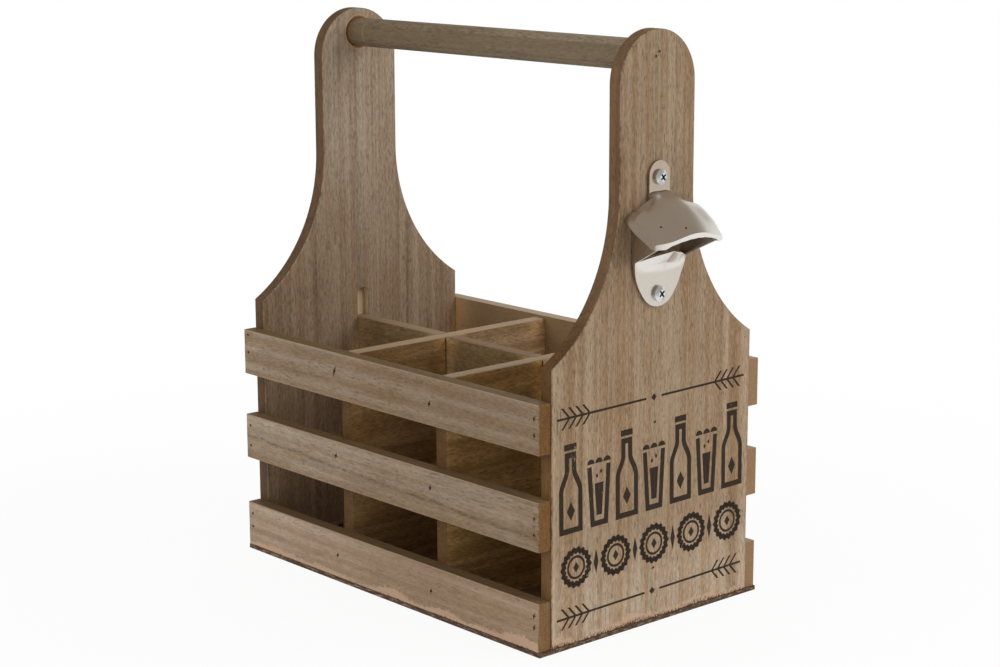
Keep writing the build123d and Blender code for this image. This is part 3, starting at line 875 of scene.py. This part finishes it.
def saw_fur(wood, colour, planed_tone, corners):
    """Short slanting fibres that the saw raised, pinker at the back, painted light in the corners,
    a dark line along the joints, and planed upper edges with painted shade in the middle bay."""
    surface = wood.surface
    pinker = surface.step(wood.at["Y"], *PINKER_PART) * wood.on_face
    colour = wood.tinted(colour, PINKER_TINT, pinker)
    slant = {"Vector": wood.place, "Rotation": FUR_SLANT}
    slanted = surface.add("VectorRotate", {"rotation_type": "EULER_XYZ"}, slant)
    fur = surface.step(surface.noise(slanted, *FUR), *FUR_RANGE)
    colour = surface.shade(colour, FUR_LOW + FUR_SHARE * fur * (1 - wood.turned["Z"]))
    for corner in corners(wood):
        colour = wood.painted_light_beside(colour, *corner)
    joint = 1 - surface.step(corners(wood)[0][0], *JOINT_LIMITS)
    colour = surface.shade(colour, 1 - JOINT_DARKNESS * joint * wood.on_face)
    planed = surface.step(wood.at["Z"], *PLANED_DEPTH, start=divider_top)
    planed = planed * surface.step(wood.turned["Z"], *PLANED_TURN)
    smooth = wood.grained(planed_tone, PLANED_CONTRAST)
    # Painted shade on the planed edge of the long divider in the middle bay.
    shaded_middle_bay = 1 - surface.step(wood.out, -MIDDLE_BAY_FADE, -half_board, start=cross_place)
    return surface.mix(planed, colour, wood.tinted(smooth, MIDDLE_BAY_SHADE, shaded_middle_bay))


# %% Divider finishes
PLANED_TONE = (0.36, 0.252, 0.155)
LONG_PLANED_TONE = (0.29, 0.200, 0.120)
DIVIDERS = {
    "long_divider": ((0.200, 0.120, 0.050), (0.185, 0.120, 0.058)),
    "cross_divider_left": ((0.230, 0.130, 0.047), (0.245, 0.148, 0.062)),
    "cross_divider_right": ((0.350, 0.200, 0.066), (0.372, 0.228, 0.087)),
}
DIVIDER = {
    "edge": (0.165, 0.105, 0.055),
    "end": (0.126, 0.064, 0.021),
    "contrast": 0.9,
    "wander": 5.0,
}

for node, washed in DIVIDERS.items():
    if node == "long_divider":
        mark = partial(saw_fur, planed_tone=LONG_PLANED_TONE, corners=long_corners)
        turn = {"grain": "X", "face": "Y"}
    else:
        mark = partial(saw_fur, planed_tone=PLANED_TONE, corners=cross_corners)
        turn = {"grain": "Y", "face": "X"}
    dress(board(node + "_wood", washed=washed, marks=[mark], **turn, **DIVIDER), node)

# %% [markdown]
# ## Base and handle
#
# The base is a thin dark sheet whose edges are chipped to raw wood. The dowel was stained by
# itself, and its ends went darker in their sockets. Both are boards to the finish: what makes
# them their own is one mark each.

# %% Base
CHIPS, CHIP_RANGE, CHIP_SHARE = ((0.16, 0.16, 0.8), 4.0, 0.7), (0.50, 0.62), 0.42
BASE_EDGE = (0.085, 0.050, 0.028)


def chipped(wood, colour):
    """Raw wood along the edges of the base, where the saw tore bits of the dark skin away."""
    chips = wood.surface.noise(wood.place, *CHIPS)
    bare = wood.surface.step(chips, *CHIP_RANGE) * (1 - wood.on_face)
    return wood.surface.mix(CHIP_SHARE * bare, colour, RAW_WOOD)


base_finish = board(
    "base_wood",
    grain="X",
    face="Z",
    washed=((0.130, 0.076, 0.036), (0.140, 0.088, 0.047)),
    edge=BASE_EDGE,
    end=BASE_EDGE,
    marks=[chipped],
)
dress(base_finish, "base_board")

# %% Handle
GREYER_PART, GREYER_TINT = (-70.0, 60.0), (1.10, 1.14, 1.18)
DARK_END, DARK_END_TONE, DARK_END_SHARE = (-5.0, 0.0), (0.22, 0.115, 0.045), 0.8
CLAMP_START, CLAMP_END, CLAMP_EDGE = -16.5, -13.5, 1.2
CLAMP_TONE, CLAMP_SHARE = (0.25, 0.18, 0.11), 0.45


def clamp_ring(wood, colour):
    """Greyer towards the near end, dark at both ends, with a faint ring where it was gripped."""
    surface = wood.surface
    colour = wood.tinted(colour, GREYER_TINT, surface.step(wood.at["X"], *GREYER_PART))
    ends = surface.step(wood.out, *DARK_END, start=inner_face)
    colour = surface.mix(DARK_END_SHARE * ends, colour, DARK_END_TONE)
    ring = wood.within(wood.out, inner_face + CLAMP_START, inner_face + CLAMP_END, CLAMP_EDGE)
    return surface.mix(CLAMP_SHARE * ring, colour, CLAMP_TONE)


dowel_finish = board(
    "dowel_wood",
    grain="X",
    face="Z",
    washed=((0.172, 0.124, 0.072), (0.196, 0.148, 0.096)),
    edge=(0.178, 0.128, 0.076),
    end=(0.150, 0.090, 0.045),
    contrast=0.8,
    wander=3.0,
    marks=[clamp_ring],
)
dress(dowel_finish, "handle_dowel")

# %% [markdown]
# ## Brads
#
# A brad gun leaves a small wire head a little below the surface. Against washed wood the head and
# its hole read as one dark fleck, so a dull brown steel is all that they need. The brads over the
# end boards went through the dip, and their heads are as brown as the wood.

# %% Brad steel
RUST = (0.8, 3.0, 0.5)
DULL_TONES = ((0.030, 0.021, 0.015), (0.075, 0.050, 0.033))
DIPPED_TONES = ((0.20, 0.125, 0.075), (0.34, 0.22, 0.14))
DIPPED_PART = (-2.0, 0.0)
BRAD_METAL = 0.4
BRAD_ROUGHNESS, BRAD_RUST_ROUGHNESS = 0.55, 0.3

brad = new_material("brad_steel")
brad_place = place_in_mm(brad)
rust = brad.noise(brad_place, *RUST)
dipped = brad.step(abs(brad.split(brad_place)["X"]), *DIPPED_PART, start=inner_face)
brad_finish = brad.finish(
    Base_Color=brad.mix(dipped, brad.mix(rust, *DULL_TONES), brad.mix(rust, *DIPPED_TONES)),
    Metallic=BRAD_METAL,
    Roughness=BRAD_ROUGHNESS + BRAD_RUST_ROUGHNESS * rust,
)
dress(brad_finish, "slat_brads", "handle_brads", "divider_brads", "base_brads")

# %% [markdown]
# ## Plated metal
#
# The opener is a zinc casting with a satin nickel plate. Nickel is warmer than chrome and its
# satin blurs what it mirrors, so most of its look is roughness and what the studio shows it. The
# tab gets a darker, browner copy of the plating as painted shade, and the hood a whiter copy as a
# brighter painted reflection. The model's faces are flat strips, so they are welded and shaded
# smooth, except at real edges.

# %% Smooth shading with sharp edges
SHARP_DEGREES = 30


def shade_smooth(node):
    """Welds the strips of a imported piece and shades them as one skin."""
    piece = nodes[node]
    piece.data.attributes.remove(piece.data.attributes["custom_normal"])
    piece.data.polygons.foreach_set("use_smooth", [True] * len(piece.data.polygons))
    weld = piece.modifiers.new("weld", "WELD")
    weld.merge_threshold = WELD_DISTANCE
    split = piece.modifiers.new("real edges", "EDGE_SPLIT")
    split.split_angle = math.radians(SHARP_DEGREES)
    split.use_edge_sharp = False
    print(node, "smooth up to", SHARP_DEGREES, "degrees")


shade_smooth("bottle_opener")
shade_smooth("opener_screws")

# %% Opener
PITS = ((159.5, -19.0, 236.9), (165.7, -5.7, 235.7))
PIT_EDGE, PIT_RAGS, PIT_DEPTH, PIT_TONE = (0.5, 0.9), 1.2, 20.0, (0.08, 0.065, 0.05)
SATIN, GRIT = (0.35, 4.0, 0.6), (4.0, 3.0, 0.7)
# The tab tone is painted shade and the hood tones a painted brighter reflection, both on the one
# plating.
PLATE_TONES = ((0.60, 0.545, 0.475), (0.66, 0.61, 0.54))
HOOD_LIT_TONES = ((0.76, 0.725, 0.68), (0.80, 0.765, 0.72))
SHADED_TAB_TONE, TAB_CONTRAST = (0.475, 0.39, 0.312), 0.3
ABOVE_PLATE, HOOD_START, TAB_START = (1.9, 2.4), (2.4, 4.0), (-20.0, -16.0)
SATIN_BUMP = 0.003 * MM
TURNED_SKYWARD = (0.3, 0.6)
SATIN_ROUGHNESS, SATIN_SWING, SKYWARD_ROUGHNESS = 0.25, 0.12, 0.09

nickel = new_material("opener_nickel")
nickel_place = place_in_mm(nickel)
nickel_at = nickel.split(nickel_place)
satin = nickel.noise(nickel_place, *SATIN)
grit = PIT_RAGS * nickel.noise(nickel_place, *GRIT).swing
on_plate = 1 - nickel.step(nickel_at["X"], *ABOVE_PLATE, start=outer_face)
opener_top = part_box("bottle_opener")[1].z / MM
on_tab = nickel.step(nickel_at["Z"], *TAB_START, start=opener_top) * on_plate
on_hood = nickel.step(nickel_at["X"], *HOOD_START, start=outer_face)
# Painted shade on the tab and a painted brighter reflection on the hood.
tab = nickel.shade(SHADED_TAB_TONE, 1 + TAB_CONTRAST * satin.swing)
plating = nickel.mix(on_tab, nickel.mix(satin, *PLATE_TONES), tab)
plating = nickel.mix(on_hood, plating, nickel.mix(satin, *HOOD_LIT_TONES))
pitted = 0
for pit in PITS:
    pitted = pitted + (1 - nickel.step(nickel.distance(nickel_place, pit) + grit, *PIT_EDGE))
normal = nickel.add("NewGeometry", None, None, "Normal")
skyward = nickel.step(nickel.split(normal)["Z"], *TURNED_SKYWARD)
nickel_finish = nickel.finish(
    bump=satin - PIT_DEPTH * pitted,
    bump_height=SATIN_BUMP,
    Base_Color=nickel.mix(pitted, plating, PIT_TONE),
    Metallic=1.0,
    Roughness=SATIN_ROUGHNESS + SATIN_SWING * satin.swing + SKYWARD_ROUGHNESS * skyward,
)
dress(nickel_finish, "bottle_opener")

# %% Screws
RECESS_REACH, RECESS_EDGE, RECESS_DEPTH = 2.38, 0.05, (-0.35, -0.02)
RECESS_SHADE = (0.05, 0.055, 0.065)
ZINC_TONES = ((0.62, 0.65, 0.66), (0.80, 0.82, 0.82))
SMEAR = (0.9, 4.0, 0.6)
ZINC_METAL, RECESS_METAL_LOSS = 0.8, 0.5
ZINC_ROUGHNESS, SMEAR_ROUGHNESS = 0.24, 0.15

screws_low, screws_high = (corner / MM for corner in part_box("opener_screws"))
head_width = screws_high.y - screws_low.y
screws_middle = (screws_low.z + screws_high.z) / 2
from_middle = (screws_high.z - screws_low.z - head_width) / 2

zinc = new_material("screw_zinc")
zinc_place = place_in_mm(zinc)
zinc_at = zinc.split(zinc_place)
smear = zinc.noise(zinc_place, *SMEAR)
from_screw = from_axis(zinc_at["Y"], abs(zinc_at["Z"] - screws_middle) - from_middle)
deep = 1 - zinc.step(zinc_at["X"], *RECESS_DEPTH, start=screws_high.x)
# Painted shade: the cross recess is made dark and less metallic, where shade falls in it.
recess_shade = deep * (1 - zinc.step(from_screw, 0.0, RECESS_EDGE, start=RECESS_REACH))
zinc_finish = zinc.finish(
    Base_Color=zinc.mix(recess_shade, zinc.mix(smear, *ZINC_TONES), RECESS_SHADE),
    Metallic=ZINC_METAL - RECESS_METAL_LOSS * recess_shade,
    Roughness=ZINC_ROUGHNESS + SMEAR_ROUGHNESS * smear,
)
dress(zinc_finish, "opener_screws")

# %% [markdown]
# ## Stencilled ornament
#
# The end board carries a dark brown print: a pair of arrows above and below, and between them a
# row of bottles and glasses and a row of bottle caps. A picture could be projected on the board,
# but flat shapes laid on it have crisp edges at any distance. Each shape is either filled or a
# stroke of even width along a path, and no two of them overlap. They are as thin as ink, and
# each closes round its own volume.

# %% Strokes
INK_THICKNESS = 0.03 * MM
INK_ROOT = 0.02 * MM
PRINT_MIDDLE = Vector((0.2, 77.4))
PRINT_TILT = math.radians(0.9)


def stroke(path, width, closed=False):
    """Four-cornered shapes that cover a line of even width along a path."""
    points = [Vector(point) for point in path]
    ends = points[1:] + points[:1] if closed else points[1:]
    directions = [(end - start).normalized() for start, end in zip(points, ends)]
    sides = []
    for index, point in enumerate(points):
        before = directions[index - 1] if closed or index else directions[0]
        after = directions[index] if index < len(directions) else directions[-1]
        across = (before + after).normalized().orthogonal()
        reach = across * (width / 2 / across.dot(before.orthogonal()))
        sides.append((point + reach, point - reach))
    nexts = sides[1:] + sides[:1] if closed else sides[1:]
    return [(here[0], here[1], there[1], there[0]) for here, there in zip(sides, nexts)]


def moved(shapes, across, up):
    """The same shapes in another place."""
    return [[Vector(point) + Vector((across, up)) for point in shape] for shape in shapes]


def on_board(point, depth):
    """A point of the print on the outer face of the right end board."""
    turned = Matrix.Rotation(PRINT_TILT, 2) @ Vector(point) + PRINT_MIDDLE
    return Vector((outer_face * MM + depth, turned.x * MM, turned.y * MM))


def stencil(name, shapes, ink):
    """A thin closed piece from flat shapes on the end board."""
    sheet = bmesh.new()
    for shape in shapes:
        sheet.faces.new([sheet.verts.new(on_board(point, -INK_ROOT)) for point in shape])
    bmesh.ops.remove_doubles(sheet, verts=sheet.verts, dist=WELD_DISTANCE)
    skin = bmesh.ops.extrude_face_region(sheet, geom=sheet.faces[:], use_keep_orig=True)
    raised = [part for part in skin["geom"] if isinstance(part, bmesh.types.BMVert)]
    bmesh.ops.translate(sheet, verts=raised, vec=(INK_ROOT + INK_THICKNESS, 0, 0))
    bmesh.ops.recalc_face_normals(sheet, faces=sheet.faces)
    mesh = bpy.data.meshes.new(name)
    sheet.to_mesh(mesh)
    sheet.free()
    mesh.materials.append(ink)
    piece = bpy.data.objects.new(name, mesh)
    bpy.context.scene.collection.objects.link(piece)
    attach(piece, "root")
    print(name, len(shapes), "shapes")


# %% [markdown]
# ## Ink that has soaked in
#
# Ink on open-grained wood is not a coat: the pores still show, and it has rubbed off where the
# board was handled. So the ink is the same board finish with one more mark on it, and where the
# ink is worn, exactly the wood that lies beneath comes through.

# %% Ink
INK_TONES = ((0.017, 0.009, 0.004), (0.030, 0.017, 0.009))
RUBBED, SPECKS = ((0.09, 0.09, 0.045), 3.0, 0.6), ((1.3, 1.3, 0.45), 3.0, 0.7)
INK_SPECKS, INK_WORN_RANGE = 0.9, (0.73, 0.84)
THINNEST, WORN_OFF = 0.02, 0.88


def inked(wood, colour):
    """Dark brown ink, paler on raised fibres and worn off in a few patches."""
    surface = wood.surface
    rubbed = surface.noise(wood.place, *RUBBED)
    specks = surface.noise(wood.place, *SPECKS).swing
    worn = surface.step(rubbed + INK_SPECKS * specks, *INK_WORN_RANGE)
    return surface.mix(THINNEST + WORN_OFF * worn, surface.mix(wood.fibres, *INK_TONES), colour)


ink = board("stencil_ink", marks=(*end_board_marks, inked), **END_BOARD)

# %% [markdown]
# ## Arrows
#
# An arrow rule is a line in two halves with a diamond between them, and four pairs of barbs at
# each outer end that point inwards. The barbs are parallelograms that start on the edge of the
# line, so nothing overlaps.

# %% Arrow rules
RULE_PLACES = {"upper_arrows": (0.0, 57.4), "lower_arrows": (-1.6, -57.8)}
RULE_ENDS = (6.1, 75.6)
RULE_WIDTH = 1.3
DIAMOND = 2.2
BARB_START = 50.3
BARB_PITCH = 5.2
BARB_COUNT = 4
BARB_RUN = 4.6
BARB_RISE = 5.7
BARB_WIDTH = 1.7
BARB_GROWTH = 0.03


def diamond(half_width, half_height):
    return [(-half_width, 0), (0, -half_height), (half_width, 0), (0, half_height)]


def barb(number):
    """The corners of one barb, counted outwards along the line. Each is a little larger."""
    start, edge = BARB_START + number * BARB_PITCH, RULE_WIDTH / 2
    grown = 1 + number * BARB_GROWTH
    run, rise = BARB_RUN * grown, BARB_RISE * grown
    foot = [(start, edge), (start + BARB_WIDTH, edge)]
    return foot + [(start + BARB_WIDTH + run, rise), (start + run, rise)]


def arrow_half(side):
    """One half of an arrow rule, out to one side."""
    shapes = stroke([(side * RULE_ENDS[0], 0), (side * RULE_ENDS[1], 0)], RULE_WIDTH)
    for number in range(BARB_COUNT):
        for up in (-1, 1):
            shapes.append([(side * out, up * height) for out, height in barb(number)])
    return shapes


arrow_rule = arrow_half(-1) + arrow_half(1) + [diamond(DIAMOND, DIAMOND)]
for name, (across, up) in RULE_PLACES.items():
    stencil(name, moved(arrow_rule, across, up), ink)

# %% [markdown]
# ## Bottles, glasses and caps
#
# The motifs are drawn once round their own middle and repeated along a row. A bottle's shoulder
# is half a cosine wave, which leaves both the side and the neck smoothly. A cap's rim is a circle
# whose radius swings eighteen times, once for every flute that this design shows.

# %% Bottle
MOTIF_STROKE = 3.3
BOTTLE_HALF, NECK_HALF = 7.3, 2.7
SHOULDER_START, SHOULDER_END, NECK_END = 24.0, 37.0, 45.0
SHOULDER_STEPS = 10
CAP_HALF, CAP_GAP, CAP_TOP = 4.7, 1.3, 51.5
LABEL = (3.1, 5.4)


def bottle():
    """An outlined bottle with a diamond on its label, and a cap over its mouth."""
    foot = MOTIF_STROKE / 2
    side = [(BOTTLE_HALF, foot)]
    for step in range(SHOULDER_STEPS + 1):
        share = step / SHOULDER_STEPS
        width = NECK_HALF + (BOTTLE_HALF - NECK_HALF) * (1 + math.cos(math.pi * share)) / 2
        side.append((width, SHOULDER_START + share * (SHOULDER_END - SHOULDER_START)))
    side.append((NECK_HALF, NECK_END))
    outline = side + [(-out, up) for out, up in reversed(side)]
    cap_foot = NECK_END + foot + CAP_GAP
    cap = [(-CAP_HALF, cap_foot), (CAP_HALF, cap_foot), (CAP_HALF, CAP_TOP), (-CAP_HALF, CAP_TOP)]
    label = moved([diamond(*LABEL)], 0, (foot + SHOULDER_START) / 2)
    return stroke(outline, MOTIF_STROKE, closed=True) + [cap] + label


# %% Glass
GLASS_FOOT_HALF, GLASS_RIM_HALF, GLASS_RIM = 5.2, 7.4, 35.0
DRINK = [(-2.1, 6.3), (2.1, 6.3), (3.5, 25.0), (-3.5, 25.0)]
BUBBLE, BUBBLE_PLACES = (1.0, 1.5), ((-1.6, 29.2), (1.7, 31.4))
FOAM_BUMPS, FOAM_RADIUS, FOAM_PITCH, FOAM_SEAT = 3, 2.9, 6.3, 1.6
DISC_STEPS = 12


def half_disc(radius):
    """The upper half of a filled circle."""
    angles = [math.pi * step / DISC_STEPS for step in range(DISC_STEPS + 1)]
    return [(radius * math.cos(angle), radius * math.sin(angle)) for angle in angles]


def glass():
    """A tumbler, filled most of the way, with two bubbles and a head of foam."""
    wall = [(-GLASS_RIM_HALF, GLASS_RIM), (-GLASS_FOOT_HALF, MOTIF_STROKE / 2)]
    wall += [(-out, up) for out, up in reversed(wall)]
    shapes = stroke(wall, MOTIF_STROKE) + [DRINK]
    for across, up in BUBBLE_PLACES:
        shapes += moved([diamond(*BUBBLE)], across, up)
    for bump in range(FOAM_BUMPS):
        middle = (bump - (FOAM_BUMPS - 1) / 2) * FOAM_PITCH
        shapes += moved([half_disc(FOAM_RADIUS)], middle, GLASS_RIM + FOAM_SEAT)
    return shapes


# %% Row of bottles and glasses
MOTIF_COUNT, MOTIF_PITCH = 7, 21.9
ROW_FOOT = -9.0

row = []
for index in range(MOTIF_COUNT):
    motif = glass() if index % 2 else bottle()
    row += moved(motif, (index - (MOTIF_COUNT - 1) / 2) * MOTIF_PITCH, ROW_FOOT)
stencil("bottle_row", row, ink)

# %% Row of caps
CAP_COUNT, CAP_PITCH, CAP_ROW_RISE = 5, 31.0, -29.5
CAP_RADIUS, CAP_SWING, CAP_FLUTES, STEPS_PER_FLUTE = 9.9, 0.8, 18, 6
CAP_STROKE, CAP_MARK = 2.6, (2.3, 3.2)
INNER_RADIUS, INNER_STEPS, INNER_STROKE = 6.2, 36, 1.5
SPACER = (1.9, 7.5)


def ring(radius, swing, waves, steps, width):
    """A closed stroke round a circle whose radius swings in and out."""
    path = []
    for step in range(steps):
        angle = math.tau * step / steps
        reach = radius + swing * math.cos(waves * angle)
        path.append((reach * math.cos(angle), reach * math.sin(angle)))
    return stroke(path, width, closed=True)


def bottle_cap():
    rim = ring(CAP_RADIUS, CAP_SWING, CAP_FLUTES, CAP_FLUTES * STEPS_PER_FLUTE, CAP_STROKE)
    return rim + ring(INNER_RADIUS, 0, 0, INNER_STEPS, INNER_STROKE) + [diamond(*CAP_MARK)]


row = []
for shapes, count in ((bottle_cap(), CAP_COUNT), ([diamond(*SPACER)], CAP_COUNT - 1)):
    for index in range(count):
        row += moved(shapes, (index - (count - 1) / 2) * CAP_PITCH, CAP_ROW_RISE)
stencil("cap_row", row, ink)
